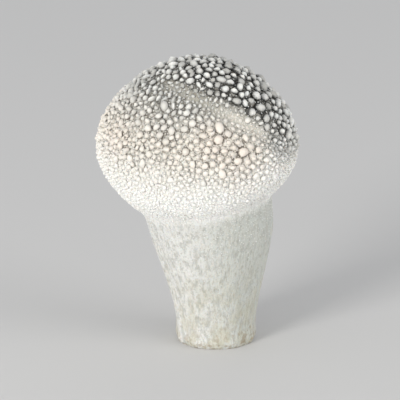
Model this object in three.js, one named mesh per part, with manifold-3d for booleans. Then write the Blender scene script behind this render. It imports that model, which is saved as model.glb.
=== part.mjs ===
// A small puffball mushroom, as picked: a round head set with pearl-like studs, on a short
// stem that tapers to a foot cut flat. It grew in one piece, so it is one solid.
// Millimetres, +Z up. The origin is the centre of the cut foot, and the front looks to -Y.
import * as THREE from 'three';
import { mergeVertices } from 'three/addons/utils/BufferGeometryUtils.js';
import Module from 'manifold-3d';

const degrees = THREE.MathUtils.degToRad;
const smoothstep = THREE.MathUtils.smoothstep;

// Head
const HEAD_RADIUS = 20.75; // half the width across the head, between the studs
const HEAD_CENTRE = 43.1; // height of the widest ring above the cut foot
const CROWN_RISE = 18.3; // from the widest ring up to the top
const UNDERSIDE_DROP = 14.55; // half height of the ellipse that the underside follows
const UNDERSIDE_END = degrees(39.4); // how far the underside curls in towards the neck
const DEPTH_RATIO = 0.97; // front to back, as a share of the width

// Stem and foot
const NECK_RADIUS = 13.55;
const NECK_HEIGHT = 28.1;
const NECK_TAPER = degrees(7.6); // how much the stem already narrows at the neck,
const NECK_FALL = 9.6; // and how far down it keeps that direction
const FOOT_RADIUS = 8.5;
const FOOT_ROUNDING = 1.6; // height of the soft rim just above the cut
const FOOT_WAIST = 0.95; // how much the stem draws in above the foot,
const FOOT_WAIST_RISE = 5.25; // and how far up
const FOOT_BELOW_CUT = 3.0; // what the knife takes off

// Lean: the axis bends to -X on its way up, and the neck ring climbs towards +X and the back
const NECK_SHIFT = -0.64;
const HEAD_SHIFT = -3.42;
const HEAD_SHIFT_START = NECK_HEIGHT - 5.3;
const NECK_CLIMB_RIGHT = 0.174; // millimetres up for each millimetre towards +X
const NECK_CLIMB_BACK = 0.055; // and for each millimetre towards +Y
const NECK_CLIMB_REACH = 9.5; // above and below the neck

// Unevenness of the skin
const SWELL = 0.35; // a low wave from the crown down to the neck
const LOBES = 0.15; // three broad lobes round the head
const STEM_FOLDS = 9;
const STEM_FOLD_DEPTH = 0.16;

// Neck fill: at the front the underside runs into the stem with hardly a corner
const NECK_FILL = 0.75;
const NECK_FILL_HEIGHT = NECK_HEIGHT + 4.3; // where it is thickest
const NECK_FILL_REACH = 6.15; // up and down from there
const NECK_FILL_TURN = degrees(37); // from the side, where it starts, to where it is full

// Crease: a shallow trough across the upper front, along the plane where it meets the head
const CREASE_NORMAL = new THREE.Vector3(0.463, 0.329, 0.823).normalize();
const CREASE_OFFSET = 7.7; // distance of that plane from the middle of the head
const CREASE_HALF_WIDTH = 1.9;
const CREASE_DEPTH = 0.7;
const CREASE_MIDDLE = degrees(-80); // azimuth of its deepest place
const CREASE_REACH = degrees(80);

// Studs: a low six-sided pyramid round each point of a net laid over the skin
const NET = 13; // divisions of one edge of an icosahedron
const RING_ANGLE = Math.atan(2) / NET; // from one ring of the net to the next, near a pole
const FOOT_RINGS = 6; // rings of the net on the foot, counted from its middle
const STEM_RINGS = 7; // rings up the stem, from the foot's rim to the neck
const STUD_HEIGHT = 0.75; // on the crown
const NECK_STUD_HEIGHT = 0.12;
const STUD_JITTER = 0.22; // of the net's spacing

const KNIFE_BLOCK = 60; // width of the block that is taken off below the foot

// Radius and height, from the top of the crown down the outside to the axis below the foot.
function makeOutline() {
  const outline = new THREE.Path();
  outline.absellipse(0, HEAD_CENTRE, HEAD_RADIUS, CROWN_RISE, Math.PI / 2, 0, true);
  outline.absellipse(0, HEAD_CENTRE, HEAD_RADIUS, UNDERSIDE_DROP, 0, -UNDERSIDE_END, true);
  const slope = UNDERSIDE_DROP / (HEAD_RADIUS * Math.tan(UNDERSIDE_END));
  const end = outline.currentPoint;
  const [across, up] = [Math.sin(NECK_TAPER), Math.cos(NECK_TAPER)];
  const gap = end.y - slope * (end.x - NECK_RADIUS) - NECK_HEIGHT;
  const climb = gap / (up - slope * across); // from the neck to the corner that the curve rounds
  const corner = [NECK_RADIUS + climb * across, NECK_HEIGHT + climb * up];
  outline.quadraticCurveTo(...corner, NECK_RADIUS, NECK_HEIGHT);
  outline.bezierCurveTo(
    NECK_RADIUS - NECK_FALL * across, NECK_HEIGHT - NECK_FALL * up,
    FOOT_RADIUS - FOOT_WAIST, FOOT_ROUNDING + FOOT_WAIST_RISE,
    FOOT_RADIUS, FOOT_ROUNDING,
  );
  const bottom = FOOT_ROUNDING + FOOT_BELOW_CUT;
  outline.absellipse(0, FOOT_ROUNDING, FOOT_RADIUS, bottom, 0, -Math.PI / 2, true);
  return outline;
}

const outline = makeOutline();
const [, , neckEnd, footEnd, outlineLength] = outline.getCurveLengths();
const FOOT_POLAR = Math.PI - FOOT_RINGS * RING_ANGLE;
const NECK_POLAR = FOOT_POLAR - STEM_RINGS * RING_ANGLE;

// The share of the outline that lies above a direction of the net, so that its rings fall on
// the head, the stem and the foot in the numbers given above.
function shareOfOutline(polar) {
  const { mapLinear } = THREE.MathUtils;
  if (polar < NECK_POLAR) {
    return mapLinear(polar, 0, NECK_POLAR, 0, neckEnd) / outlineLength;
  }
  if (polar < FOOT_POLAR) {
    return mapLinear(polar, NECK_POLAR, FOOT_POLAR, neckEnd, footEnd) / outlineLength;
  }
  return Math.min(mapLinear(polar, FOOT_POLAR, Math.PI, footEnd, outlineLength) / outlineLength, 1);
}

// How much of the crease there is at a point, 0 to 1.
function creaseAt(point, azimuth) {
  const middle = new THREE.Vector3(0, 0, HEAD_CENTRE);
  const distance = point.clone().sub(middle).dot(CREASE_NORMAL) - CREASE_OFFSET;
  const turn = azimuth - CREASE_MIDDLE;
  const away = Math.abs(Math.atan2(Math.sin(turn), Math.cos(turn)));
  const across = Math.exp(-((distance / CREASE_HALF_WIDTH) ** 2));
  return across * (1 - smoothstep(away, 0.5 * CREASE_REACH, CREASE_REACH));
}

// How far the fill in the neck's corner stands out at a point.
function neckFill(point, azimuth) {
  const full = smoothstep(-Math.sin(azimuth), 0, Math.sin(NECK_FILL_TURN));
  return NECK_FILL * full * Math.exp(-(((point.z - NECK_FILL_HEIGHT) / NECK_FILL_REACH) ** 2));
}

// Waves, lobes, folds, crease and fill: how far the skin stands off its even outline.
function unevenness(point, azimuth) {
  const onHead = smoothstep(point.z, NECK_HEIGHT - 1, NECK_HEIGHT + 6);
  const drop = Math.atan2(Math.hypot(point.x, point.y), point.z - HEAD_CENTRE);
  const swell = SWELL * Math.cos(4 * drop - degrees(37) + 0.57 * Math.sin(azimuth - 0.53));
  const lobes = LOBES * Math.sin(drop) * Math.sin(3 * azimuth + 1.96 + 0.86 * Math.cos(drop));
  const crease = CREASE_DEPTH * creaseAt(point, azimuth);
  const turn = STEM_FOLDS * azimuth + 1.5 * Math.sin(2 * azimuth) + 0.08 * point.z;
  const folds = STEM_FOLD_DEPTH * Math.sin(turn);
  const even = onHead * (swell + lobes - crease) + (1 - onHead) * folds;
  return even + neckFill(point, azimuth);
}

// Carries a point of the upright, even body to its place on the leaning one.
function lean(point) {
  const nearNeck = Math.exp(-(((point.z - NECK_HEIGHT) / NECK_CLIMB_REACH) ** 2));
  const climb = NECK_CLIMB_RIGHT * point.x + NECK_CLIMB_BACK * point.y;
  const z = point.z + climb * nearNeck;
  const neckShift = NECK_SHIFT * smoothstep(z, 0, NECK_HEIGHT);
  const headShift = HEAD_SHIFT * smoothstep(z, HEAD_SHIFT_START, HEAD_CENTRE);
  return new THREE.Vector3(point.x + neckShift + headShift, point.y * DEPTH_RATIO, z);
}

// Studs are tallest on the crown, low near the neck, and gone on the stem.
function studHeight(height) {
  const onHead = smoothstep(height, NECK_HEIGHT + 1, NECK_HEIGHT + 5);
  const tall = smoothstep(height, NECK_HEIGHT + 3, HEAD_CENTRE + 0.3 * CROWN_RISE);
  return onHead * THREE.MathUtils.lerp(NECK_STUD_HEIGHT, STUD_HEIGHT, tall);
}

// The skin's point in a direction of the net, raised by a share of the stud's height there.
function skinPoint(direction, raise) {
  const azimuth = Math.atan2(direction.y, direction.x);
  const share = shareOfOutline(Math.acos(THREE.MathUtils.clamp(direction.z, -1, 1)));
  const even = outline.getPoint(share);
  const along = outline.getTangent(share);
  const place = (radius, height) =>
    new THREE.Vector3(radius * Math.cos(azimuth), radius * Math.sin(azimuth), height);
  const off = unevenness(place(even.x, even.y), azimuth) + raise * studHeight(even.y);
  return lean(place(Math.max(even.x - along.y * off, 0), even.y + along.x * off));
}

// A spread of numbers from -1 to 1 that is the same on every run.
function scatter(index, salt) {
  const wave = Math.sin(index * 12.9898 + salt * 78.233) * 43758.5453;
  return 2 * THREE.MathUtils.euclideanModulo(wave, 1) - 1;
}

// The net's points as directions, nudged out of their even rows where there are studs.
function netDirections(corners) {
  return Array.from({ length: corners.count }, (_, i) => {
    const direction = new THREE.Vector3().fromBufferAttribute(corners, i).normalize();
    const nudge = new THREE.Vector3(scatter(i, 1), scatter(i, 2), scatter(i, 3));
    const room = direction.z > Math.cos(NECK_POLAR - 2 * RING_ANGLE) ? STUD_JITTER : 0;
    return direction.addScaledVector(nudge, room * RING_ANGLE).normalize();
  });
}

// Studded skin: the net's points are the studs' tips and its triangles' middles the hollows
// between them. Each edge of the net becomes two faces, one on the pyramid of each tip.
function makeSkin() {
  const net = mergeVertices(onlyPositions(new THREE.IcosahedronGeometry(1, NET - 1)), 1e-4);
  const directions = netDirections(net.getAttribute('position'));
  const points = directions.map((direction, i) => skinPoint(direction, 0.75 + 0.25 * scatter(i, 4)));
  const hollowBeside = new Map();
  const triangles = Array.from(net.getIndex().array);
  for (let t = 0; t < triangles.length; t += 3) {
    const ring = triangles.slice(t, t + 3);
    const middle = new THREE.Vector3();
    ring.forEach((corner, k) => {
      middle.add(directions[corner]);
      hollowBeside.set(`${corner}:${ring[(k + 1) % 3]}`, points.length);
    });
    points.push(skinPoint(middle.normalize(), 0));
  }
  const faces = [];
  for (const [edge, hollow] of hollowBeside) {
    const [from, to] = edge.split(':').map(Number);
    faces.push(from, hollowBeside.get(`${to}:${from}`), hollow);
  }
  return toGeometry(points.flatMap((point) => point.toArray()), faces);
}

function onlyPositions(geometry) {
  geometry.deleteAttribute('normal');
  geometry.deleteAttribute('uv');
  return geometry;
}

function toGeometry(coordinates, faces) {
  const geometry = new THREE.BufferGeometry();
  geometry.setAttribute('position', new THREE.Float32BufferAttribute(coordinates, 3));
  geometry.setIndex(faces);
  return geometry;
}

function toSolid(wasm, geometry) {
  const merged = mergeVertices(geometry, 1e-4);
  return new wasm.Manifold(new wasm.Mesh({
    numProp: 3,
    vertProperties: new Float32Array(merged.getAttribute('position').array),
    triVerts: new Uint32Array(merged.getIndex().array),
  }));
}

// Takes the root end off level with the ground, so that the mushroom stands on its foot.
async function cutFoot(skin) {
  const wasm = await Module();
  wasm.setup();
  const block = onlyPositions(new THREE.BoxGeometry(KNIFE_BLOCK, KNIFE_BLOCK, KNIFE_BLOCK));
  block.translate(0, 0, -KNIFE_BLOCK / 2);
  const kept = toSolid(wasm, skin).subtract(toSolid(wasm, block)).getMesh();
  return toGeometry(Array.from(kept.vertProperties), Array.from(kept.triVerts));
}

const flesh = new THREE.MeshStandardMaterial({ color: 0xe4ddd2, roughness: 0.75, metalness: 0 });
const puffball = new THREE.Mesh(await cutFoot(makeSkin()), flesh);
puffball.name = 'puffball';

const mushroom = new THREE.Group();
mushroom.add(puffball);

export default mushroom;
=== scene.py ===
# %% [markdown]
# # A small puffball mushroom
#
# The real object is one fruit body: a round head covered with pearly studs, on a short white
# stem that was trimmed flat when it was picked. It has no moving parts, so everything here
# rides on the one body called root.
#
# The plan is to rebuild its skin as a fine mesh from the same measures that the solid model
# has, to scatter the studs and grains over it with Geometry Nodes, and to paint everything
# with procedural materials that read where on the mushroom they are.

# %% Load the frame
import math

import bpy
import numpy as np
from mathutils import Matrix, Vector
from mathutils.kdtree import KDTree


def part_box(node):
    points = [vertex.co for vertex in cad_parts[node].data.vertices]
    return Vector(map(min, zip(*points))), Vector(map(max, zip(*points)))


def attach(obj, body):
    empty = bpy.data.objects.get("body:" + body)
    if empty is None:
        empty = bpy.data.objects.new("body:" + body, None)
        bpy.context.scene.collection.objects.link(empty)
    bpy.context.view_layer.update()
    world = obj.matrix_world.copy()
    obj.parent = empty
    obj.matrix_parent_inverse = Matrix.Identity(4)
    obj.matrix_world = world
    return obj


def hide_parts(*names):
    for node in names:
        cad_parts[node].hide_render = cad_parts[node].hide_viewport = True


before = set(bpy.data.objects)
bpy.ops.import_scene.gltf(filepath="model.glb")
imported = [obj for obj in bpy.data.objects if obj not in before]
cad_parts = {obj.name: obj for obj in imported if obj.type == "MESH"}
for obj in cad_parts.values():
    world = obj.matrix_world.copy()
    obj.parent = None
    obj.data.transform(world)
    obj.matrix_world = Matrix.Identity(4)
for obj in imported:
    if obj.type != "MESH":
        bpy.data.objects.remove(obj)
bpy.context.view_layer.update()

foot_corner, crown_corner = (np.array(corner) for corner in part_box("puffball"))
print("solid model in mm:", np.round((crown_corner - foot_corner) * 1000, 1))

# %% [markdown]
# ## Units and small helpers
#
# Blender works in metres here and a mushroom is measured in millimetres, so sizes are written
# as so many MM. The two helpers give the soft step that nearly every rule below is made of,
# and a straight blend between two values.

# %% Units and helpers
MM = 0.001


def soft_step(value, start, end):
    """0 before start, 1 after end, and an S-curve between them."""
    t = np.clip((value - start) / (end - start), 0.0, 1.0)
    return t * t * (3.0 - 2.0 * t)


def blend(low, high, share):
    """Goes straight from low to high as share goes from 0 to 1."""
    return low + (high - low) * share


print("a quarter of the way along, the soft step is at", float(soft_step(0.25, 0.0, 1.0)))

# %% [markdown]
# ## Camera
#
# The mushroom is seen from a little above, 18 degrees over the horizon, through a long lens
# from more than a metre away. A long lens keeps the head from looking swollen against the
# foot. The camera comes first, so that every later step can be looked at through it.

# %% Camera
CAMERA_ELEVATION = math.radians(18.0)
CAMERA_DISTANCE = 1.3
CAMERA_LENS = 550.0
LOOK_AT = Vector((-3.4 * MM, 0.0, 31.0 * MM))

camera = bpy.data.objects.new("camera", bpy.data.cameras.new("camera"))
bpy.context.scene.collection.objects.link(camera)
camera.data.lens = CAMERA_LENS
camera.data.clip_start = 0.1
camera.data.clip_end = 20.0
away = Vector((0.0, -math.cos(CAMERA_ELEVATION), math.sin(CAMERA_ELEVATION)))
camera.location = LOOK_AT + away * CAMERA_DISTANCE
camera.rotation_euler = (-away).to_track_quat("-Z", "Y").to_euler()
bpy.context.scene.camera = camera
print("camera stands at", [round(value, 3) for value in camera.location])

# %% [markdown]
# ## The outline of the body
#
# Cut a puffball down the middle and its edge is simple: a low dome, an underside that curls
# in, a rounded corner, a neck that already narrows, a stem that goes on to a slight waist, and
# a soft rim round the cut foot. A curve spun round an axis would give that shape. Here the
# outline is kept as numbers instead, drawn once from arcs and curves and read by the distance
# down it, because the studs and the colours need to know where on it they are too.

# %% Outline
HEAD_RADIUS = 20.75 * MM
HEAD_CENTRE = 43.1 * MM
CROWN_RISE = 18.3 * MM
UNDERSIDE_DROP = 14.55 * MM
UNDERSIDE_END = math.radians(39.4)
NECK_RADIUS = 13.55 * MM
NECK_HEIGHT = 28.1 * MM
NECK_TAPER = math.radians(7.6)
NECK_FALL = 9.6 * MM
FOOT_RADIUS = 8.5 * MM
FOOT_ROUNDING = 1.6 * MM
FOOT_WAIST = 0.95 * MM
FOOT_WAIST_RISE = 5.25 * MM
FOOT_BELOW_CUT = 3.0 * MM


def arc(centre_height, radius, half_height, start, end, steps=160):
    """Points of an upright ellipse round the axis, between two angles."""
    turn = np.linspace(start, end, steps)
    return np.stack([radius * np.cos(turn), centre_height + half_height * np.sin(turn)], axis=1)


def bezier(*handles, steps=120):
    """Points of a Bezier curve of any degree."""
    t = np.linspace(0.0, 1.0, steps)[:, None]
    points = [np.array(handle, dtype=float) for handle in handles]
    while len(points) > 1:
        points = [(1.0 - t) * a + t * b for a, b in zip(points, points[1:])]
    return points[0]


def draw_outline():
    """The outline's corners as distances, and the outline itself as distance, radius, height."""
    dome = arc(HEAD_CENTRE, HEAD_RADIUS, CROWN_RISE, math.pi / 2, 0.0)
    under = arc(HEAD_CENTRE, HEAD_RADIUS, UNDERSIDE_DROP, 0.0, -UNDERSIDE_END)
    slope = UNDERSIDE_DROP / (HEAD_RADIUS * math.tan(UNDERSIDE_END))
    neck_ring = np.array([NECK_RADIUS, NECK_HEIGHT])
    upward = np.array([math.sin(NECK_TAPER), math.cos(NECK_TAPER)])
    gap = under[-1, 1] - slope * (under[-1, 0] - NECK_RADIUS) - NECK_HEIGHT
    corner = neck_ring + upward * gap / (upward[1] - slope * upward[0])
    neck = bezier(under[-1], corner, neck_ring)
    stem = bezier(
        neck_ring,
        neck_ring - upward * NECK_FALL,
        (FOOT_RADIUS - FOOT_WAIST, FOOT_ROUNDING + FOOT_WAIST_RISE),
        (FOOT_RADIUS, FOOT_ROUNDING),
    )
    bottom = FOOT_ROUNDING + FOOT_BELOW_CUT
    cut_angle = -math.asin(FOOT_ROUNDING / bottom)
    rim = arc(FOOT_ROUNDING, FOOT_RADIUS, bottom, 0.0, cut_angle, steps=20)
    cut = bezier(rim[-1], (0.0, 0.0), steps=20)
    pieces = [dome, under, neck, stem, rim, cut]
    points = np.vstack([pieces[0]] + [piece[1:] for piece in pieces[1:]])
    steps = np.hypot(*np.diff(points, axis=0).T)
    distance = np.concatenate([[0.0], np.cumsum(steps)])
    ends = np.cumsum([len(dome), len(under) - 1, len(neck) - 1, len(stem) - 1, len(rim) - 1]) - 1
    return distance[ends], distance, points


ends, outline_distance, outline_points = draw_outline()
WIDEST, UNDER_END, NECK_END, _, RIM_END = ends
print("outline in mm, crown to foot:", np.round(np.append(ends, outline_distance[-1]) / MM, 1))


def on_outline(distance):
    """Radius and height of the outline, a given distance down it."""
    return tuple(np.interp(distance, outline_distance, side) for side in outline_points.T)


# %% [markdown]
# ## From the outline to the leaning, uneven body
#
# No mushroom is as true as a turned bowl. Low waves and lobes keep the head from being an
# egg, soft upright folds run down the stem, and a shallow crease crosses the upper front. The
# whole body then leans: its axis bends to one side and its neck ring climbs to the other.
# A low fill softens the front of the neck's corner, where the underside runs into the stem.
# Sculpting could do all this by hand. These are plain rules on arrays of points instead, so the
# same rules place the skin, the studs and the grains, and all of them agree.

# %% Body measures
DEPTH_RATIO = 0.97
NECK_SHIFT = -0.64 * MM
HEAD_SHIFT = -3.42 * MM
HEAD_SHIFT_START = NECK_HEIGHT - 5.3 * MM
NECK_CLIMB_RIGHT = 0.174
NECK_CLIMB_BACK = 0.055
NECK_CLIMB_REACH = 9.5 * MM
ON_HEAD = (NECK_HEIGHT - 1.0 * MM, NECK_HEIGHT + 6.0 * MM)
SWELL = 0.35 * MM
SWELL_START = math.radians(37.0)
SWELL_SIDEWAYS = 0.57
SWELL_TURN = 0.53
LOBES = 0.15 * MM
LOBE_TURN = 1.96
LOBE_TWIST = 0.86
STEM_FOLDS = 9
STEM_FOLD_DEPTH = 0.16 * MM
STEM_FOLD_WANDER = 1.5
STEM_FOLD_TWIST = 0.08
NECK_FILL = 0.75 * MM
NECK_FILL_HEIGHT = NECK_HEIGHT + 4.3 * MM
NECK_FILL_REACH = 6.15 * MM
NECK_FILL_TURN = math.radians(37.0)
CREASE_NORMAL = np.array([0.463, 0.329, 0.823])
CREASE_OFFSET = 7.7 * MM
CREASE_HALF_WIDTH = 1.9 * MM
CREASE_DEPTH = 0.7 * MM
CREASE_MIDDLE = math.radians(-80.0)
CREASE_REACH = math.radians(80.0)
HEAD_MIDDLE = np.array([0.0, 0.0, HEAD_CENTRE])
print("head leans and crease sinks, in mm:", np.round([-HEAD_SHIFT / MM, CREASE_DEPTH / MM], 2))

# %% Body rules
SLOPE_REACH = 0.05 * MM
SHORT_WALK = 0.15 * MM


def upright(radius, azimuth, height):
    """Points from cylinder measures."""
    return np.stack([radius * np.cos(azimuth), radius * np.sin(azimuth), height], axis=-1)


def crease_at(points, azimuth):
    """How much of the crease there is, 0 to 1."""
    distance = (points - HEAD_MIDDLE) @ CREASE_NORMAL - CREASE_OFFSET
    turn = np.abs(np.angle(np.exp(1j * (azimuth - CREASE_MIDDLE))))
    across = np.exp(-((distance / CREASE_HALF_WIDTH) ** 2))
    return across * (1.0 - soft_step(turn, 0.5 * CREASE_REACH, CREASE_REACH))


def neck_fill(height, azimuth):
    """How far the fill in the neck's front corner stands out."""
    full = soft_step(-np.sin(azimuth), 0.0, math.sin(NECK_FILL_TURN))
    return NECK_FILL * full * np.exp(-(((height - NECK_FILL_HEIGHT) / NECK_FILL_REACH) ** 2))


def unevenness(points, azimuth):
    """How far the skin stands off its even outline."""
    height = points[:, 2]
    on_head = soft_step(height, *ON_HEAD)
    drop = np.arctan2(np.hypot(points[:, 0], points[:, 1]), height - HEAD_CENTRE)
    wave = 4.0 * drop - SWELL_START + SWELL_SIDEWAYS * np.sin(azimuth - SWELL_TURN)
    lobe = np.sin(drop) * np.sin(3.0 * azimuth + LOBE_TURN + LOBE_TWIST * np.cos(drop))
    wander = STEM_FOLD_WANDER * np.sin(2.0 * azimuth)
    fold = np.sin(STEM_FOLDS * azimuth + wander + STEM_FOLD_TWIST * height / MM)
    head = SWELL * np.cos(wave) + LOBES * lobe - CREASE_DEPTH * crease_at(points, azimuth)
    even = on_head * head + (1.0 - on_head) * STEM_FOLD_DEPTH * fold
    return even + neck_fill(height, azimuth)


def lean(points):
    """Carries upright points to their places on the leaning body."""
    x, y, height = points.T
    near_neck = np.exp(-(((height - NECK_HEIGHT) / NECK_CLIMB_REACH) ** 2))
    z = height + (NECK_CLIMB_RIGHT * x + NECK_CLIMB_BACK * y) * near_neck
    shift = NECK_SHIFT * soft_step(z, 0.0, NECK_HEIGHT)
    shift = shift + HEAD_SHIFT * soft_step(z, HEAD_SHIFT_START, HEAD_CENTRE)
    return np.stack([x + shift, y * DEPTH_RATIO, z], axis=1)


def skin(distance, azimuth, lift=0.0):
    """Points of the skin, a given distance down the outline, lifted off it by so much."""
    radius, height = on_outline(distance)
    before, after = on_outline(distance - SLOPE_REACH), on_outline(distance + SLOPE_REACH)
    across, along = after[0] - before[0], after[1] - before[1]
    length = np.maximum(np.hypot(across, along), 1e-9)
    off = unevenness(upright(radius, azimuth, height), azimuth) + lift
    radius_out = np.maximum(radius - along / length * off, 0.0)
    height_out = height + across / length * off
    placed = lean(upright(radius_out, azimuth, height_out))
    on_cut = distance >= RIM_END
    placed[on_cut, 2] = 0.0
    return placed


def skin_normals(distance, azimuth):
    """Outward directions of the skin, from two short walks over it."""
    radius, _ = on_outline(distance)
    turn = SHORT_WALK / np.maximum(radius, SHORT_WALK)
    above = np.maximum(distance - SHORT_WALK, 0.0)
    down = skin(distance + SHORT_WALK, azimuth) - skin(above, azimuth)
    around = skin(distance, azimuth + turn) - skin(distance, azimuth - turn)
    normal = np.cross(down, around)
    return normal / np.maximum(np.linalg.norm(normal, axis=1), 1e-12)[:, None]


def skin_direction(distance, azimuth, turn):
    """Directions on the skin, turned by so much from straight down the outline."""
    step = SHORT_WALK * np.cos(turn)
    radius, _ = on_outline(distance)
    swing = SHORT_WALK * np.sin(turn) / np.maximum(radius, SHORT_WALK)
    return skin(distance + step, azimuth + swing) - skin(distance, azimuth)


widest_ring = skin(np.full(360, WIDEST), np.radians(np.arange(360.0)))
print("widest ring of the head in mm:", np.round(np.ptp(widest_ring, axis=0)[:2] / MM, 1))

# %% [markdown]
# ## Where on the mushroom: zones
#
# Colour and studs change over the head in broad zones. The crown is weathered, and the dark
# between its studs is partly dirt and partly painted shade, most of all at its right, where it
# reaches down the far edge. A band along the crease holds only small, low studs, and its right
# part is clean. A few patches blush pink. Towards the neck the studs shrink to fine grains on
# cream skin, painted whiter at the front right as painted light. The stem is painted greyer on
# one side as painted shade, stained lower down, with soil at the foot. Painting by hand could
# do it. Here each zone is a rule from 0 to 1, used for the mesh and the scatter and, stored as
# attributes, for the paint.

# %% Zone rules
BLUSHES = np.array([
    [4.5, -18.3, 7.0], [9.5, -17.3, 2.0], [13.5, -14.5, -3.0], [-16.5, -10.0, 3.5],
]) * MM
BLUSH_CORE = 1.0 * MM
BLUSH_REACH = 7.5 * MM
EDGE_WANDER = 1.5 * MM
RIGHT_SIDE = (-8.0 * MM, 6.0 * MM)
RIGHT_EDGE = (11.0 * MM, 19.0 * MM)
FAR_RIGHT = (14.8 * MM, 18.3 * MM)
CROWN_START = (-14.0 * MM, -5.0 * MM)
CROWN_FULL = (0.0, 3.0 * MM)
DIRT_AND_SHADE_EDGE = (-1.0 * MM, 4.0 * MM)
HIGH_EDGE = (0.0, 8.0 * MM)
CLEAN_EDGE = (2.0 * MM, 9.0 * MM)
FINE_EDGE = (-7.8 * MM, 5.2 * MM)
STEM_EDGE = (NECK_HEIGHT + 1.5 * MM, NECK_HEIGHT + 6.0 * MM)


def waves(points, size, salt):
    """A smooth uneven field from -1 to 1, made of a few crossing waves."""
    turned = points / size
    total = np.zeros(len(points))
    for step in range(4):
        angle = salt + 1.9 * step
        direction = np.array([math.cos(angle), math.sin(angle * 1.3), math.cos(angle * 0.7 + 1.0)])
        total = total + np.sin(turned @ direction * (1.0 + 0.37 * step) + angle * 2.1)
    return total / 4.0


def zones(distance, azimuth):
    """The zone values of skin points, by name."""
    radius, height = on_outline(distance)
    points = upright(radius, azimuth, height)
    local = points - HEAD_MIDDLE
    uneven = EDGE_WANDER * waves(points, 4.5 * MM, 0.4)
    mirrored = local * np.where(local[:, 1:2] > 0.0, [[1.0, -1.0, 1.0]], [[1.0, 1.0, 1.0]])
    edge = soft_step(local[:, 0], *RIGHT_EDGE)
    above = mirrored @ CREASE_NORMAL - CREASE_OFFSET + uneven
    right = soft_step(local[:, 0] + uneven, *RIGHT_SIDE)
    crown = soft_step(
        above + 2.5 * MM * edge, blend(*CROWN_START, right), blend(*CROWN_FULL, right))
    # Dirt and painted shade between the crown's studs, strongest at its right.
    dirt_and_shade = soft_step(above, *DIRT_AND_SHADE_EDGE) * blend(0.4, 1.0, right)
    high = soft_step(local[:, 2] + 4.0 * MM * edge + uneven, *HIGH_EDGE)
    far_right = soft_step(local[:, 0] + uneven, *FAR_RIGHT)
    bare = crease_at(points, azimuth) * (1.0 - 0.75 * far_right)
    clean = soft_step(local[:, 0] + uneven, *CLEAN_EDGE) * (1.0 - 0.8 * far_right)
    weathered = 1.0 - 0.8 * bare * clean
    crown = crown * high * weathered
    dirt_and_shade = dirt_and_shade * high * high * weathered
    # Painted light: the whitest fine zone reaches higher at the front right, so that side is painted
    # brighter.
    painted_light_front_right = soft_step(local[:, 0], 9.0 * MM, 18.0 * MM)
    painted_light_front_right = painted_light_front_right * soft_step(-local[:, 1], -8.0 * MM, 4.0 * MM)
    low = local[:, 2] + 0.12 * local[:, 0] - 6.2 * MM * painted_light_front_right
    fine = 1.0 - soft_step(low + 1.2 * MM * waves(points, 3.5 * MM, 4.1), *FINE_EDGE)
    stem = 1.0 - soft_step(height, *STEM_EDGE)
    away_from = [np.linalg.norm(local - middle, axis=1) for middle in BLUSHES]
    blush = 1.0 - soft_step(np.min(away_from, axis=0), BLUSH_CORE, BLUSH_REACH)
    soil = 1.0 - soft_step(height + 2.5 * MM * waves(points, 3.0 * MM, 3.3), 0.0, 9.0 * MM)
    soil = soil ** 1.5
    # Painted shade: the stem is painted greyer on its right side.
    shaded_side = soft_step(points[:, 0] - 0.3 * points[:, 1] + uneven, -4.0 * MM, 10.0 * MM)
    stain = 1.0 - soft_step(height + 4.0 * MM * waves(points, 4.0 * MM, 1.2), 2.0 * MM, 24.0 * MM)
    return {
        "crown": crown, "dirt_and_shade": dirt_and_shade, "bare": bare, "clean": clean, "fine": fine,
        "blush": blush, "stem": stem, "shaded_side": shaded_side, "stain": stain, "soil": soil,
    }


down_the_front = zones(np.array([10.0, 30.0, 60.0]) * MM, np.full(3, -math.pi / 2))
for zone_name, zone_values in down_the_front.items():
    print(zone_name, "at 10, 30 and 60 mm down the front:", np.round(zone_values, 2))

# %% [markdown]
# ## Studs: where they grow
#
# Studs crowd the skin without touching, wide apart on the crown and closer further down. A
# patient way to get that is to throw many points at the skin, and to keep a point only if no
# kept one is nearer than the spacing asked for at that place. A few rounds of pushing apart
# then even the rows out. The studs thin out by chance over the last few millimetres. The random
# numbers start from a fixed seed, so every run is alike.

# %% Stud spacing
SEED = 7
CROWN_SPACING = 1.65 * MM
NECK_SPACING = 0.82 * MM
random = np.random.default_rng(SEED)
print("spacing on crown and neck in mm:", np.round([CROWN_SPACING / MM, NECK_SPACING / MM], 2))


def stud_spacing(distance, azimuth):
    """The spacing asked for between studs."""
    here = zones(distance, azimuth)
    left = soft_step(-np.cos(azimuth) * (1.0 - here["crown"]), 0.3, 1.0)
    spacing = blend(CROWN_SPACING, NECK_SPACING, here["fine"]) * (1.0 - 0.14 * left)
    spacing = spacing * (1.0 + 0.28 * here["blush"] * (1.0 - left))
    return spacing * (1.0 - 0.4 * here["bare"]) * (1.0 + 0.3 * here["dirt_and_shade"])


def throw(count, start, end):
    """Random skin places between two distances down the outline, even by area."""
    distance = random.uniform(start, end, count * 3)
    radius, _ = on_outline(distance)
    kept = random.uniform(0.0, HEAD_RADIUS * 1.02, count * 3) < radius
    distance = distance[kept][:count]
    return distance, random.uniform(-math.pi, math.pi, len(distance))


def keep_apart(points, spacing):
    """Indices of the points that survive when each claims its spacing, first come first kept."""
    cell = float(spacing.max())
    grid = {}
    kept = []
    for index, point in enumerate(points):
        key = tuple((point // cell).astype(int))
        near = (
            other
            for i in (-1, 0, 1) for j in (-1, 0, 1) for k in (-1, 0, 1)
            for other in grid.get((key[0] + i, key[1] + j, key[2] + k), ())
        )
        need = spacing[index]
        if all(math.dist(point, points[other]) > 0.5 * (need + spacing[other]) for other in near):
            grid.setdefault(key, []).append(index)
            kept.append(index)
    return np.array(kept)


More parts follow.
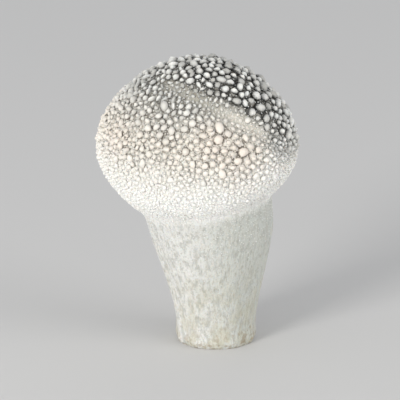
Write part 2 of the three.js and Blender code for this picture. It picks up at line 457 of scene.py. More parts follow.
# %% Stud sites
STUD_END = UNDER_END + 4.0 * MM
STUD_THROWS = 42000
SIZE_CLASSES = [0.74, 1.0, 1.3]
SIZE_CHANCES = [0.4, 0.35, 0.25]
CLOSEST = 0.82
stud_distance, stud_azimuth = throw(STUD_THROWS, 0.0, STUD_END)
stud_space = stud_spacing(stud_distance, stud_azimuth) * random.choice(
    SIZE_CLASSES, len(stud_distance), p=SIZE_CHANCES)
kept = keep_apart(skin(stud_distance, stud_azimuth), stud_space * CLOSEST)
stud_distance, stud_azimuth, stud_space = stud_distance[kept], stud_azimuth[kept], stud_space[kept]
print("studs:", len(stud_distance))

# %% Evening the rows out
PUSH_REACH = 0.55
PUSH_STEP = 0.35


def push_apart(distance, azimuth, space, rounds=6):
    """Evens the rows out: each point is pushed off neighbours that are too near."""
    for _ in range(rounds):
        points = skin(distance, azimuth)
        gaps = points[:, None, :] - points[None, :, :]
        length = np.linalg.norm(gaps, axis=2)
        need = PUSH_REACH * (space[:, None] + space[None, :])
        push = np.where((length > 0.0) & (length < need), 1.0 - length / need, 0.0)
        unit = gaps / np.maximum(length, 1e-9)[:, :, None]
        move = (push[:, :, None] * unit).sum(axis=1) * space[:, None] * PUSH_STEP
        normal = skin_normals(distance, azimuth)
        around = np.cross(np.array([0.0, 0.0, 1.0]), normal)
        around = around / np.maximum(np.linalg.norm(around, axis=1), 1e-6)[:, None]
        down = np.cross(around, normal)
        radius = np.maximum(np.hypot(points[:, 0], points[:, 1]), 0.5 * MM)
        down = down * -np.sign(down[:, 2])[:, None]
        distance = np.clip(distance + (move * down).sum(axis=1), 0.02 * MM, STUD_END)
        azimuth = azimuth + (move * around).sum(axis=1) / radius
    return distance, azimuth


stud_distance, stud_azimuth = push_apart(stud_distance, stud_azimuth, stud_space)
fade = soft_step(stud_distance, UNDER_END - 2.0 * MM, STUD_END - 0.2 * MM)
kept = random.random(len(fade)) >= fade
stud_distance, stud_azimuth, stud_space = stud_distance[kept], stud_azimuth[kept], stud_space[kept]
stud_points = skin(stud_distance, stud_azimuth)
stud_zones = zones(stud_distance, stud_azimuth)
print("studs left:", len(stud_points))
print("spacing asked for, on average in mm:", round(float(stud_space.mean() / MM), 2))

# %% [markdown]
# ## The skin mesh
#
# The skin is one closed mesh. A ball with poles would bunch its faces at the crown, so the
# mesh starts as a cube whose six faces are cut into small squares and blown up to a ball,
# which has no poles and nearly equal squares. The ball's squares are then dealt out down the
# outline by area. Near each stud the skin swells to a low mound, and between two studs it
# sinks to a groove: the difference of the distances to the nearest and the second nearest
# stud is nought just halfway between them, so it draws those grooves by itself.

# %% A ball of squares
CUBE_CUTS = 124
RIM_SNAP = 0.14 * MM


def ball_of_squares(cuts):
    """Directions and quads of a cube with cut faces, blown up to a ball."""
    line = np.tan(np.linspace(-math.pi / 4, math.pi / 4, cuts + 1))
    first, second = np.meshgrid(line, line, indexing="ij")
    flat = np.stack([first.ravel(), second.ravel(), np.ones(first.size)], axis=1)
    turns = [(0, 1, 2), (1, 2, 0), (2, 0, 1)]
    corners = [flat[:, turn] * side for turn in turns for side in (1.0, -1.0)]
    grid = np.arange(first.size).reshape(first.shape)
    quad = np.stack([grid[:-1, :-1], grid[1:, :-1], grid[1:, 1:], grid[:-1, 1:]], axis=-1)
    quad = quad.reshape(-1, 4)
    quads = [(quad if side > 0 else quad[:, ::-1]) + first.size * (2 * turn + (side < 0))
             for turn in range(3) for side in (1.0, -1.0)]
    points = np.vstack(corners)
    points = points / np.linalg.norm(points, axis=1)[:, None]
    _, first_seen, merged = np.unique(
        np.round(points * 1e6).astype(np.int64), axis=0, return_index=True, return_inverse=True)
    return points[first_seen], merged.ravel()[np.vstack(quads)]


def deal_out(directions):
    """Distance down the outline and azimuth for each direction, equal in area."""
    ring = 0.5 * (outline_points[1:, 0] + outline_points[:-1, 0]) * np.diff(outline_distance)
    area = np.concatenate([[0.0], np.cumsum(ring)])
    share = 0.5 * (1.0 - directions[:, 2])
    distance = np.interp(share * area[-1], area, outline_distance)
    near_rim = np.abs(distance - RIM_END) < RIM_SNAP
    distance = np.where(near_rim, RIM_END, distance)
    return distance, np.arctan2(directions[:, 1], directions[:, 0])


directions, quads = ball_of_squares(CUBE_CUTS)
skin_distance, skin_azimuth = deal_out(directions)
print("ball:", len(directions), "points,", len(quads), "squares")

# %% Nearest studs and new meshes


def two_nearest(points, sites):
    """Distances from each point to its nearest and second nearest site, and the nearest."""
    tree = KDTree(len(sites))
    for index, site in enumerate(sites):
        tree.insert(site, index)
    tree.balance()
    found = [tree.find_n(point, 2) for point in points]
    first = np.array([pair[0][2] for pair in found])
    second = np.array([pair[1][2] for pair in found])
    return first, second, np.array([pair[0][1] for pair in found])


def new_mesh(name, points, faces=()):
    """A named object in the scene with a mesh of these points and faces."""
    mesh = bpy.data.meshes.new(name)
    mesh.from_pydata([tuple(point) for point in points], [], [tuple(face) for face in faces])
    made = bpy.data.objects.new(name, mesh)
    bpy.context.scene.collection.objects.link(made)
    return made


def store(made, **fields):
    """Writes a number or a direction for each point of a mesh."""
    for name, values in fields.items():
        vector = np.ndim(values) == 2
        field = made.data.attributes.new(name, "FLOAT_VECTOR" if vector else "FLOAT", "POINT")
        field.data.foreach_set("vector" if vector else "value", np.ravel(values).astype(np.float32))


first, second, nearest = two_nearest(skin(skin_distance, skin_azimuth), stud_points)
print("farthest skin from a stud in mm:", round(float(first.max() / MM), 1))

# %% Skin mesh, with sizes as shares of the stud spacing
MOUND_HEIGHT = 0.17
MOUND_LEVEL = 0.6
GROOVE_WIDTH = 0.42
GROOVE_LOST_IN_CREASE = 0.8
MOUND_LOST_IN_CREASE = 0.7
skin_zones = zones(skin_distance, skin_azimuth)
space_here = stud_space[nearest]
on_head = 1.0 - skin_zones["stem"]
swell = soft_step((second - first) / space_here, 0.0, GROOVE_WIDTH)
# Where painted shade darkens the skin between studs.
groove = (1.0 - swell) * on_head * (1.0 - GROOVE_LOST_IN_CREASE * skin_zones["bare"])
lift = MOUND_HEIGHT * space_here * (swell - MOUND_LEVEL) * on_head
lift = lift * (1.0 - MOUND_LOST_IN_CREASE * skin_zones["bare"])
cut = (skin_distance >= RIM_END).astype(float)
body = new_mesh("puffball_body", skin(skin_distance, skin_azimuth, lift * (1.0 - cut)), quads)
body.data.shade_smooth()
store(body, groove=groove, cut=cut, **skin_zones)
print("skin squares:", len(body.data.polygons))

# %% [markdown]
# ## Helpers for node trees
#
# Geometry trees and material trees are both built in the script. These helpers add a node,
# set or join its inputs, and do sums and blends, so that each tree below reads like a recipe.

# %% Node helpers


def add(tree, kind, inputs=None, **settings):
    """A new node with its settings made and its inputs set, or joined to other sockets."""
    node = tree.nodes.new(kind)
    for name, value in settings.items():
        setattr(node, name, value)
    for key, value in (inputs or {}).items():
        if isinstance(value, bpy.types.NodeSocket):
            tree.links.new(value, node.inputs[key])
        else:
            node.inputs[key].default_value = value
    return node


def calc(tree, operation, *values):
    """One sum on numbers, such as MULTIPLY."""
    return add(tree, "ShaderNodeMath", dict(enumerate(values)), operation=operation).outputs[0]


def ease(tree, value, start, end):
    """soft_step as a node."""
    inputs = {"Value": value, "From Min": start, "From Max": end}
    node = add(tree, "ShaderNodeMapRange", inputs, interpolation_type="SMOOTHSTEP")
    return node.outputs["Result"]


print("node helpers:", ", ".join(helper.__name__ for helper in (add, calc, ease)))

# %% [markdown]
# ## A Geometry Nodes tree for studs
#
# A stud is a blunt pearl. Nearly three thousand of them by hand would take days, so one tree
# makes them all. It starts from a cone, bulges its straight sides with a rule, and notes how near the
# tip each point is, for the paint. It sets one on every site, squared to the skin, by the
# directions and numbers that the site carries. Once all are real mesh, a noise with features
# smaller than a large stud bends each a little, so that no two are alike.

# %% Stud shape
PEARL_ROUNDNESS = 0.62
PEARL_TIP = 0.85


def named(tree, name, kind="FLOAT"):
    """Reads a value that the points carry."""
    return add(tree, "GeometryNodeInputNamedAttribute", {"Name": name}, data_type=kind).outputs[0]


def start_tree(name, sizes):
    """An empty geometry tree with a mesh coming in, named sizes, a material and a mesh out."""
    tree = bpy.data.node_groups.new(name, "GeometryNodeTree")
    tree.interface.new_socket("Mesh", in_out="OUTPUT", socket_type="NodeSocketGeometry")
    tree.interface.new_socket("Sites", in_out="INPUT", socket_type="NodeSocketGeometry")
    for label, kind in sizes:
        tree.interface.new_socket(label, in_out="INPUT", socket_type=kind)
    tree.interface.new_socket("Material", in_out="INPUT", socket_type="NodeSocketMaterial")
    return tree, tree.nodes.new("NodeGroupInput").outputs, tree.nodes.new("NodeGroupOutput")


def pearl(tree, sides, rings, bluntness):
    """A cone with its sides bulged to a pearl, a unit wide and a unit tall."""
    cone = add(tree, "GeometryNodeMeshCone", {
        "Vertices": sides, "Side Segments": rings,
        "Radius Top": 0.0, "Radius Bottom": 1.0, "Depth": 1.0,
    })
    position = tree.nodes.new("GeometryNodeInputPosition").outputs[0]
    place = add(tree, "ShaderNodeSeparateXYZ", {0: position})
    rise = place.outputs["Z"]
    noted = add(tree, "GeometryNodeStoreNamedAttribute",
                {"Geometry": cone.outputs["Mesh"], "Name": "tip", "Value": rise})
    blunt = calc(tree, "SUBTRACT", 1.0, calc(tree, "POWER", rise, bluntness))
    round_side = calc(tree, "POWER", blunt, PEARL_ROUNDNESS)
    straight_side = calc(tree, "MAXIMUM", calc(tree, "SUBTRACT", 1.0, rise), 0.001)
    bulge = calc(tree, "DIVIDE", round_side, straight_side)
    moved = add(tree, "ShaderNodeCombineXYZ", {
        "X": calc(tree, "MULTIPLY", place.outputs["X"], bulge),
        "Y": calc(tree, "MULTIPLY", place.outputs["Y"], bulge),
        "Z": calc(tree, "POWER", rise, PEARL_TIP),
    })
    return add(tree, "GeometryNodeSetPosition",
               {"Geometry": noted.outputs[0], "Position": moved.outputs[0]}).outputs[0]


print("a pearl rises by the power", PEARL_TIP, "and rounds by the power", PEARL_ROUNDNESS)

# %% Stud tree


def set_on_sites(tree, sites, shape):
    """Stands a shape on every site, by the site's own directions, radius and rise."""
    rotation = add(tree, "FunctionNodeAxesToRotation", {
        0: named(tree, "outward", "FLOAT_VECTOR"), 1: named(tree, "along", "FLOAT_VECTOR"),
    }, primary_axis="Z", secondary_axis="X")
    radius, stretch = named(tree, "radius"), named(tree, "stretch")
    scale = add(tree, "ShaderNodeCombineXYZ", {
        "X": calc(tree, "MULTIPLY", radius, stretch),
        "Y": calc(tree, "DIVIDE", radius, stretch),
        "Z": named(tree, "rise"),
    })
    placed = add(tree, "GeometryNodeInstanceOnPoints", {
        "Points": sites, "Instance": shape,
        "Rotation": rotation.outputs[0], "Scale": scale.outputs[0],
    })
    return add(tree, "GeometryNodeRealizeInstances", {0: placed.outputs[0]}).outputs[0]


def roughen(tree, mesh, amount, grain):
    """Bends a mesh by a noise with features of a given size."""
    place = tree.nodes.new("GeometryNodeInputPosition").outputs[0]
    noise = add(tree, "ShaderNodeTexNoise",
                {"Vector": place, "Scale": calc(tree, "DIVIDE", 1.0, grain), "Detail": 2.5})
    centred = add(tree, "ShaderNodeVectorMath",
                  {0: noise.outputs["Color"], 1: (0.5, 0.5, 0.5)}, operation="SUBTRACT")
    bend = add(tree, "ShaderNodeVectorMath",
               {0: centred.outputs[0], "Scale": amount}, operation="SCALE")
    return add(tree, "GeometryNodeSetPosition",
               {"Geometry": mesh, "Offset": bend.outputs[0]}).outputs[0]


def end_tree(tree, mesh, material, out):
    """Smooth shading and the material, then out."""
    smooth = add(tree, "GeometryNodeSetShadeSmooth", {"Geometry": mesh})
    painted = add(tree, "GeometryNodeSetMaterial",
                  {"Geometry": smooth.outputs[0], "Material": material})
    tree.links.new(painted.outputs[0], out.inputs[0])


def stud_tree():
    """Sites in, studs out."""
    tree, given, out = start_tree("studs", [
        ("Sides", "NodeSocketInt"), ("Rings", "NodeSocketInt"), ("Bluntness", "NodeSocketFloat"),
        ("Unevenness", "NodeSocketFloat"), ("Grain", "NodeSocketFloat"),
    ])
    shape = pearl(tree, given["Sides"], given["Rings"], given["Bluntness"])
    studs = set_on_sites(tree, given["Sites"], shape)
    studs = roughen(tree, studs, given["Unevenness"], given["Grain"])
    end_tree(tree, studs, given["Material"], out)
    return tree


pearl_tree = stud_tree()
print("stud tree:", len(pearl_tree.nodes), "nodes")

# %% Growing from sites


def grow(name, sites, fields, tree, sizes):
    """Runs a tree on a set of sites and keeps the result as a plain mesh."""
    carrier = new_mesh(name + "_sites", sites)
    store(carrier, **fields)
    modifier = carrier.modifiers.new(name, "NODES")
    modifier.node_group = tree
    for item in tree.interface.items_tree:
        if item.in_out == "INPUT" and item.name in sizes:
            modifier[item.identifier] = sizes[item.name]
    evaluated = carrier.evaluated_get(bpy.context.evaluated_depsgraph_get())
    mesh = bpy.data.meshes.new_from_object(evaluated)
    mesh.name = name
    made = bpy.data.objects.new(name, mesh)
    bpy.context.scene.collection.objects.link(made)
    bpy.data.objects.remove(carrier)
    mesh.calc_loop_triangles()
    print(name, "from", len(sites), "sites:", len(mesh.loop_triangles), "triangles")
    return made


tree_sizes = [item.name for item in pearl_tree.interface.items_tree if item.in_out == "INPUT"]
print("the tree asks for:", ", ".join(tree_sizes))

# %% [markdown]
# ## Painting with nodes
#
# The finishes are all blends of a few dry, matt colours, mixed by the zones that each point
# carries and broken up by noise read from Object coordinates, which are the mushroom's own
# metres. The helpers wrap the nodes that the materials share.

# %% Paint helpers
FLESH_SPREAD = (1.0, 0.75, 0.55)


def start_paint(name, roughness, subsurface, subsurface_depth):
    """A material with its even values set on the shader's own sockets."""
    material = bpy.data.materials.new(name)
    material.use_nodes = True
    tree = material.node_tree
    shader = tree.nodes["Principled BSDF"]
    shader.inputs["Roughness"].default_value = roughness
    shader.inputs["Subsurface Weight"].default_value = subsurface
    shader.inputs["Subsurface Scale"].default_value = subsurface_depth
    shader.inputs["Subsurface Radius"].default_value = FLESH_SPREAD
    return material, tree, shader


def zone(tree, name):
    """A value that the mesh carries for each point."""
    return add(tree, "ShaderNodeAttribute", attribute_name=name).outputs["Fac"]


def grain(tree, size, stretch=(1.0, 1.0, 1.0), detail=2.0):
    """Noise, 0 to 1, with features of about the given size."""
    place = tree.nodes.new("ShaderNodeTexCoord").outputs["Object"]
    spread = add(tree, "ShaderNodeVectorMath", {0: place, 1: stretch}, operation="DIVIDE")
    noise = add(tree, "ShaderNodeTexNoise",
                {"Vector": spread.outputs[0], "Scale": 1.0 / size, "Detail": detail})
    return noise.outputs["Fac"]


def mix(tree, share, low, high):
    """A blend of two colours."""
    node = add(tree, "ShaderNodeMix", data_type="RGBA")
    colour_sockets = [socket for socket in node.inputs if socket.type == "RGBA"]
    for socket, value in zip([node.inputs[0]] + colour_sockets, (share, low, high)):
        if isinstance(value, bpy.types.NodeSocket):
            tree.links.new(value, socket)
        else:
            socket.default_value = value if isinstance(value, float) else (*value, 1.0)
    return next(socket for socket in node.outputs if socket.type == "RGBA")


def times(tree, *values):
    """The product of several numbers."""
    product = values[0]
    for value in values[1:]:
        product = calc(tree, "MULTIPLY", product, value)
    return product


def blend_node(tree, share, low, high):
    """blend as nodes."""
    inputs = {"Value": share, "To Min": low, "To Max": high}
    return add(tree, "ShaderNodeMapRange", inputs).outputs["Result"]


def bump(tree, height, depth, below=None):
    """A shading normal from a height of so many metres."""
    inputs = {"Height": height, "Distance": depth, "Strength": 1.0}
    if below is not None:
        inputs["Normal"] = below
    return add(tree, "ShaderNodeBump", inputs).outputs[0]


print("paint helpers:", ", ".join(
    helper.__name__ for helper in (zone, grain, mix, times, blend_node, bump)))

# %% [markdown]
# ## Finish of the skin
#
# Cream skin in the middle of the head, grey on the crown and nearly white on the underside, and
# lighter again where the crease is clean. The grooves are darkened as painted shade, with dirt
# in them on the crown. The stem is greyer, more so on its side painted with shade, with upright
# streaks, small dark flecks and, lower down, brownish stains. Soil has marked the last few
# millimetres. Every mark is the same trick, a second colour sprinkled on by noise, so one
# helper does them all. Fine noise in the bump gives the dry, mealy surface.

# %% Skin finish
MID_SKIN = (0.76, 0.73, 0.665)
BLUSH = (0.74, 0.655, 0.58)
CROWN_SKIN = (0.26, 0.25, 0.225)
UNDER_SKIN = (0.93, 0.92, 0.885)
STEM_SKIN = (0.72, 0.72, 0.695)
# The next stem colour is painted shade, for the stem's right side.
SHADED_STEM = (0.54, 0.555, 0.52)
# Painted shade between studs, and dirt with painted shade on the crown:
MID_GROOVE_SHADE = (0.13, 0.105, 0.08)
CROWN_GROOVE_DIRT_AND_SHADE = (0.085, 0.082, 0.072)
DIRT_AND_SHADE = (0.018, 0.018, 0.017)
BARE_SKIN = (0.46, 0.435, 0.375)
CLEAN_SKIN = (0.68, 0.65, 0.575)
STAIN = (0.47, 0.44, 0.31)
SOIL = (0.30, 0.23, 0.15)
FLESH = (0.78, 0.73, 0.62)
FLESH_PORE = (0.42, 0.36, 0.26)
STREAK = (0.40, 0.405, 0.375)
FLECK = (0.34, 0.335, 0.29)
MEAL_SPECK = (0.45, 0.42, 0.35)


def hollow_shade_share(tree, groove, crown, fine):
    """How much of a groove's painted shade shows: all of it on the crown, broken to specks lower
    down.
    """
    broken = ease(tree, grain(tree, 0.70 * MM, detail=1.0), 0.38, 0.50)
    shown = calc(tree, "MAXIMUM", times(tree, broken, 0.9), crown)
    faded = calc(tree, "SUBTRACT", 1.0, times(tree, fine, 0.78))
    return times(tree, groove, shown, faded)


def hollow_shade_and_dirt(tree, crown, dirt_and_shade):
    """Painted shade in the hollows between studs, darker with dirt on the crown."""
    return mix(tree, dirt_and_shade, mix(tree, crown, MID_GROOVE_SHADE, CROWN_GROOVE_DIRT_AND_SHADE), DIRT_AND_SHADE)


def sprinkle(tree, colour, extra, where, amount, size, edges, stretch=(1.0, 1.0, 1.0), detail=2.0):
    """Patches of an extra colour: where, how strong, how big, and how sharp at their edges."""
    patches = ease(tree, grain(tree, size, stretch=stretch, detail=detail), *edges)
    return mix(tree, times(tree, patches, where, amount), colour, extra)


def skin_finish():
    """Skin, stem and the cut foot."""
    material, tree, shader = start_paint("puffball_skin", 0.82, 0.35, 1.3 * MM)
    crown, fine, stem = zone(tree, "crown"), zone(tree, "fine"), zone(tree, "stem")
    bare, dirt_and_shade, groove = zone(tree, "bare"), zone(tree, "dirt_and_shade"), zone(tree, "groove")
    colour = mix(tree, times(tree, zone(tree, "blush"), 0.5), MID_SKIN, BLUSH)
    colour = mix(tree, crown, colour, CROWN_SKIN)
    colour = mix(tree, bare, colour, mix(tree, zone(tree, "clean"), BARE_SKIN, CLEAN_SKIN))
    colour = mix(tree, fine, colour, UNDER_SKIN)
    # The stem is painted greyer on its right side, as painted shade.
    colour = mix(tree, stem, colour, mix(tree, zone(tree, "shaded_side"), STEM_SKIN, SHADED_STEM))
    # Painted shade in the grooves between studs, with dirt as well on the crown.
    hollow_shade = hollow_shade_share(tree, groove, crown, fine)
    colour = mix(tree, hollow_shade, colour, hollow_shade_and_dirt(tree, crown, dirt_and_shade))
    colour = sprinkle(tree, colour, STREAK, stem, 0.6, 0.8 * MM, (0.45, 0.65),
                      stretch=(1.0, 1.0, 3.0), detail=4.0)
    colour = sprinkle(tree, colour, FLECK, stem, 0.45, 0.45 * MM, (0.54, 0.64),
                      stretch=(1.0, 1.0, 1.5), detail=3.0)
    colour = sprinkle(tree, colour, STAIN, zone(tree, "stain"), 0.45, 2.2 * MM, (0.38, 0.62),
                      stretch=(1.0, 1.0, 1.6), detail=5.0)
    colour = sprinkle(tree, colour, MEAL_SPECK, 1.0, 0.35, 0.32 * MM, (0.58, 0.66))
    colour = sprinkle(tree, colour, SOIL, zone(tree, "soil"), 0.6, 1.3 * MM, (0.50, 0.60),
                      detail=6.0)
    pores = ease(tree, grain(tree, 0.35 * MM, detail=2.0), 0.40, 0.62)
    flesh = mix(tree, pores, FLESH_PORE, FLESH)
    colour = mix(tree, zone(tree, "cut"), colour, flesh)
    tree.links.new(colour, shader.inputs["Base Color"])
    meal = bump(tree, grain(tree, 0.24 * MM, detail=2.0), 0.11 * MM)
    fibres = times(tree, grain(tree, 0.5 * MM, stretch=(1.0, 1.0, 4.0), detail=3.0), stem)
    relief = bump(tree, fibres, 0.36 * MM, meal)
    relief = bump(tree, times(tree, pores, zone(tree, "cut")), 0.15 * MM, relief)
    tree.links.new(relief, shader.inputs["Normal"])
    return material


skin_paint = skin_finish()
body.data.materials.append(skin_paint)
print("skin finish:", len(skin_paint.node_tree.nodes), "nodes")

# %% [markdown]
# ## Finish of the studs
#
# A stud is pale and a little shiny at its tip and takes the painted shade of the groove at its
# foot. On the crown the tips are whiter, partly as a painted highlight, the flanks are grey as
# painted shade, and some pearls are worn dull. One paint serves studs and grains, since each
# carries its zone values and how near the tip each point is.

# %% Stud finish
PEARL = (0.82, 0.765, 0.69)
BLUSH_PEARL = (0.80, 0.70, 0.62)
# On the crown: pale tips whitened as a painted highlight, and flanks greyed as painted shade.
CROWN_PEARL_HIGHLIGHT = (0.85, 0.85, 0.82)
CROWN_FLANK_SHADE = (0.46, 0.46, 0.44)
UNDER_PEARL = (0.92, 0.91, 0.875)
WORN_PEARL = (0.36, 0.35, 0.32)
STEM_MEAL = (0.70, 0.70, 0.67)


def stud_finish():
    """Pearls from foot to tip."""
    material, tree, shader = start_paint("puffball_studs", 0.48, 0.10, 0.5 * MM)
    crown, fine, dirt_and_shade = zone(tree, "crown"), zone(tree, "fine"), zone(tree, "dirt_and_shade")
    tip = mix(tree, times(tree, zone(tree, "blush"), 0.5), PEARL, BLUSH_PEARL)
    tip = mix(tree, crown, tip, CROWN_PEARL_HIGHLIGHT)
    dull = times(tree, zone(tree, "bare"), blend_node(tree, zone(tree, "clean"), 0.4, 0.0))
    tip = mix(tree, dull, tip, BARE_SKIN)
    tip = mix(tree, fine, tip, UNDER_PEARL)
    tip = mix(tree, times(tree, zone(tree, "stem"), 0.7), tip, STEM_MEAL)
    worn = ease(tree, zone(tree, "shade"), 0.25, 1.0)
    worn = times(tree, worn, blend_node(tree, crown, 0.15, 0.75))
    tip = mix(tree, worn, tip, WORN_PEARL)
    ground = mix(tree, crown, MID_SKIN, CROWN_SKIN)
    ground = mix(tree, fine, ground, UNDER_SKIN)
    # Each stud's foot takes the painted shade of the hollows, darker with dirt on the crown.
    hollow_shade = hollow_shade_share(tree, 1.0, crown, fine)
    foot = mix(tree, hollow_shade, ground, hollow_shade_and_dirt(tree, crown, dirt_and_shade))
    speckle = times(tree, calc(tree, "SUBTRACT", grain(tree, 0.3 * MM), 0.5), 0.5)
    rise = calc(tree, "ADD", zone(tree, "tip"), speckle)
    # Painted shade greys the flanks of crown studs below the tip, less where there is dirt.
    flank_shade = times(tree, crown, calc(tree, "SUBTRACT", 1.0, ease(tree, rise, 0.45, 0.95)),
                  blend_node(tree, dirt_and_shade, 0.8, 0.45))
    tip = mix(tree, flank_shade, tip, CROWN_FLANK_SHADE)
    start, end = blend_node(tree, dirt_and_shade, 0.02, 0.08), blend_node(tree, dirt_and_shade, 0.42, 0.58)
    colour = mix(tree, ease(tree, rise, start, end), foot, tip)
    tree.links.new(colour, shader.inputs["Base Color"])
    tree.links.new(bump(tree, grain(tree, 0.3 * MM), 0.2 * MM), shader.inputs["Normal"])
    return material


stud_paint = stud_finish()
print("stud finish:", len(stud_paint.node_tree.nodes), "nodes")

# %% [markdown]
# ## Studs
#
# Every site gets its numbers here: studs are tallest on the crown and shrink to grains at the
# neck, those along the crease are small and low, and each has a size, a turn and a stretch of
# its own. The large ones and the small ones are two pieces: a small one looks as good with
# fewer faces, and each piece stays light enough to be handled whole.

# %% Stud measures
STUD_HEIGHT = 0.85 * MM
NECK_STUD_HEIGHT = 0.12 * MM
STUD_SINK = -0.03 * MM
BIG_STUD = 0.40 * MM
random = np.random.default_rng(SEED + 1)
count = len(stud_distance)
_, height = on_outline(stud_distance)
tall = soft_step(height, NECK_HEIGHT + 3.0 * MM, HEAD_CENTRE + 0.3 * CROWN_RISE)
rise = blend(NECK_STUD_HEIGHT, STUD_HEIGHT, tall) * random.uniform(0.75, 1.2, count)
rise = rise * (stud_space / stud_spacing(stud_distance, stud_azimuth)) ** 0.5
rise = rise * (1.0 - 0.6 * stud_zones["bare"]) * (1.0 + 0.25 * stud_zones["dirt_and_shade"])
radius = 0.49 * stud_space * random.uniform(0.80, 1.10, count) * (1.0 - 0.2 * stud_zones["bare"])
radius = radius * (1.0 + 0.07 * stud_zones["crown"])
outward = skin_normals(stud_distance, stud_azimuth) + random.normal(0.0, 0.16, (count, 3))
near_top = soft_step(height, HEAD_CENTRE + 9.0 * MM, HEAD_CENTRE + 14.0 * MM)
drawn_out = stud_zones["crown"] * (1.0 - 0.8 * stud_zones["dirt_and_shade"]) * near_top
turn = random.normal(0.0, blend(1.5, 0.35, drawn_out))
stretch = random.uniform(1.0, 1.0 + blend(0.2, 0.6, drawn_out))
stud_feet = skin(stud_distance, stud_azimuth, STUD_SINK)
stud_fields = dict(
    outward=outward, along=skin_direction(stud_distance, stud_azimuth, turn), radius=radius,
    rise=rise, stretch=stretch, shade=random.random(count), **stud_zones)
widths = np.quantile(2.0 * radius, [0.0, 0.5, 1.0]) / MM
print("stud width in mm, least, middle and most:", np.round(widths, 2))

# %% Studs


def grow_studs(name, chosen, sides, rings):
    """Grows the chosen studs from so many sides and rings."""
    fields = {key: values[chosen] for key, values in stud_fields.items()}
    return grow(name, stud_feet[chosen], fields, pearl_tree, {
        "Sides": sides, "Rings": rings, "Bluntness": 1.15, "Unevenness": 0.45 * MM,
        "Grain": 0.65 * MM, "Material": stud_paint,
    })


studs = grow_studs("puffball_studs", radius >= BIG_STUD, 8, 4)
small_studs = grow_studs("puffball_small_studs", radius < BIG_STUD, 7, 3)

# %% [markdown]
# ## Grains
#
# Between the studs, and down over the neck, the skin carries grains like coarse meal. They
# come from the same tree with fewer sides and rings, because there are thousands of them.
# They are thrown at the skin as the studs were, and those that land on a stud are dropped.

# %% Grain sites
GRAIN_SPACING = 0.50 * MM
GRAIN_END = NECK_END + 9.0 * MM
GRAIN_THROWS = 60000
GRAIN_SINK = -0.02 * MM
CLEAR_OF_STUD = 0.92
grain_distance, grain_azimuth = throw(GRAIN_THROWS, 0.0, GRAIN_END)
grain_points = skin(grain_distance, grain_azimuth)
first, _, nearest = two_nearest(grain_points, stud_points)
clear = first > CLEAR_OF_STUD * radius[nearest]
thin_out = soft_step(grain_distance, UNDER_END, GRAIN_END)
clear &= random.random(len(clear)) > thin_out ** 0.4
grain_distance, grain_azimuth, grain_points = (
    grain_distance[clear], grain_azimuth[clear], grain_points[clear])
grain_zones = zones(grain_distance, grain_azimuth)
grain_space = GRAIN_SPACING * (1.0 + 0.25 * grain_zones["crown"])
kept = keep_apart(grain_points, grain_space)
grain_distance, grain_azimuth = grain_distance[kept], grain_azimuth[kept]
grain_zones = zones(grain_distance, grain_azimuth)
print("grains:", len(kept))

# %% Grains
count = len(kept)
size = random.uniform(0.12, 0.23, count) * MM * (1.0 - 0.35 * grain_zones["stem"])
grains = grow("puffball_grains", skin(grain_distance, grain_azimuth, GRAIN_SINK), dict(
    outward=skin_normals(grain_distance, grain_azimuth),
    along=skin_direction(grain_distance, grain_azimuth, random.uniform(0.0, 6.28, count)),
    radius=size, rise=size * random.uniform(0.7, 1.3, count),
    stretch=random.uniform(0.8, 1.25, count), shade=random.random(count), **grain_zones,
), pearl_tree, {
    "Sides": 6, "Rings": 2, "Bluntness": 1.8, "Unevenness": 0.10 * MM, "Grain": 0.3 * MM,
    "Material": stud_paint,
})

# %% [markdown]
# ## Floor and light
#
# A wide grey floor that grows paler with distance, so that it meets a pale horizon, and soft
# studio light: a key lamp at the front left, a broad fill at the right, stronger but farther
# off, a weak lamp behind, all a little warm, and a bright, even, faintly cool surrounding.

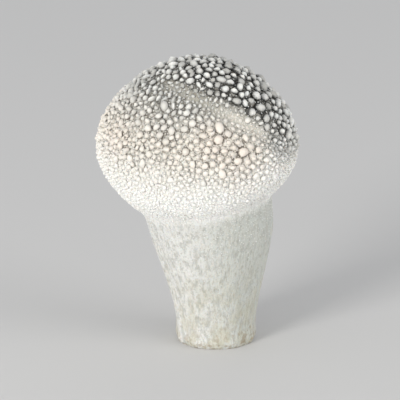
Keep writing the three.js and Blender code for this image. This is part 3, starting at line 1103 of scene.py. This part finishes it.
# %% Floor
FLOOR_REACH = 40.0
FLOOR_FADE = (0.4, 2.6)
NEAR_FLOOR = (0.63, 0.625, 0.62)
FAR_FLOOR = (0.93, 0.93, 0.93)
floor_corners = [
    (x * FLOOR_REACH, y * FLOOR_REACH, 0.0) for x, y in ((-1, -1), (1, -1), (1, 1), (-1, 1))]
floor = new_mesh("floor", floor_corners, [(0, 1, 2, 3)])
floor_paint, floor_tree, floor_shader = start_paint("floor", 0.9, 0.0, 0.001)
floor_place = floor_tree.nodes.new("ShaderNodeTexCoord").outputs["Object"]
floor_length = add(floor_tree, "ShaderNodeVectorMath", {0: floor_place}, operation="LENGTH")
floor_fade = ease(floor_tree, floor_length.outputs["Value"], *FLOOR_FADE)
floor_colour = mix(floor_tree, floor_fade, NEAR_FLOOR, FAR_FLOOR)
floor_tree.links.new(floor_colour, floor_shader.inputs["Base Color"])
floor.data.materials.append(floor_paint)
print("floor reaches", FLOOR_REACH, "m each way")

# %% Lights
LAMP_COLOUR = (1.0, 0.985, 0.95)
SKY_COLOUR = (0.95, 0.97, 1.0, 1.0)
SKY_STRENGTH = 0.58


def lamp(name, azimuth, elevation, distance, size, power):
    """A square soft lamp that looks at the head."""
    light = bpy.data.lights.new(name, "AREA")
    light.size = size
    light.energy = power
    light.color = LAMP_COLOUR
    made = bpy.data.objects.new(name, light)
    bpy.context.scene.collection.objects.link(made)
    a, e = math.radians(azimuth), math.radians(elevation)
    away = Vector((math.sin(a) * math.cos(e), -math.cos(a) * math.cos(e), math.sin(e)))
    made.location = LOOK_AT + away * distance
    made.rotation_euler = (-away).to_track_quat("-Z", "Y").to_euler()
    print(name, "lamp:", power, "W from", distance, "m away")


lamp("key", -38.0, 16.0, 0.9, 0.30, 6.1)
lamp("fill", 62.0, 10.0, 1.2, 0.8, 8.0)
lamp("back", 170.0, 50.0, 1.2, 0.6, 0.7)
world = bpy.data.worlds.new("world")
bpy.context.scene.world = world
world.use_nodes = True
sky = world.node_tree.nodes["Background"]
sky.inputs["Color"].default_value = SKY_COLOUR
sky.inputs["Strength"].default_value = SKY_STRENGTH
bpy.context.scene.view_settings.view_transform = "Standard"

# %% [markdown]
# ## Hand over
#
# All four pieces ride on the one body. The skin stands for the solid's faces, and the studs
# and grains sit on it.

# %% Hand over
for piece in (body, studs, small_studs, grains):
    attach(piece, "root")
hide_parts("puffball")
print("handed over:", ", ".join(piece.name for piece in (body, studs, small_studs, grains)))
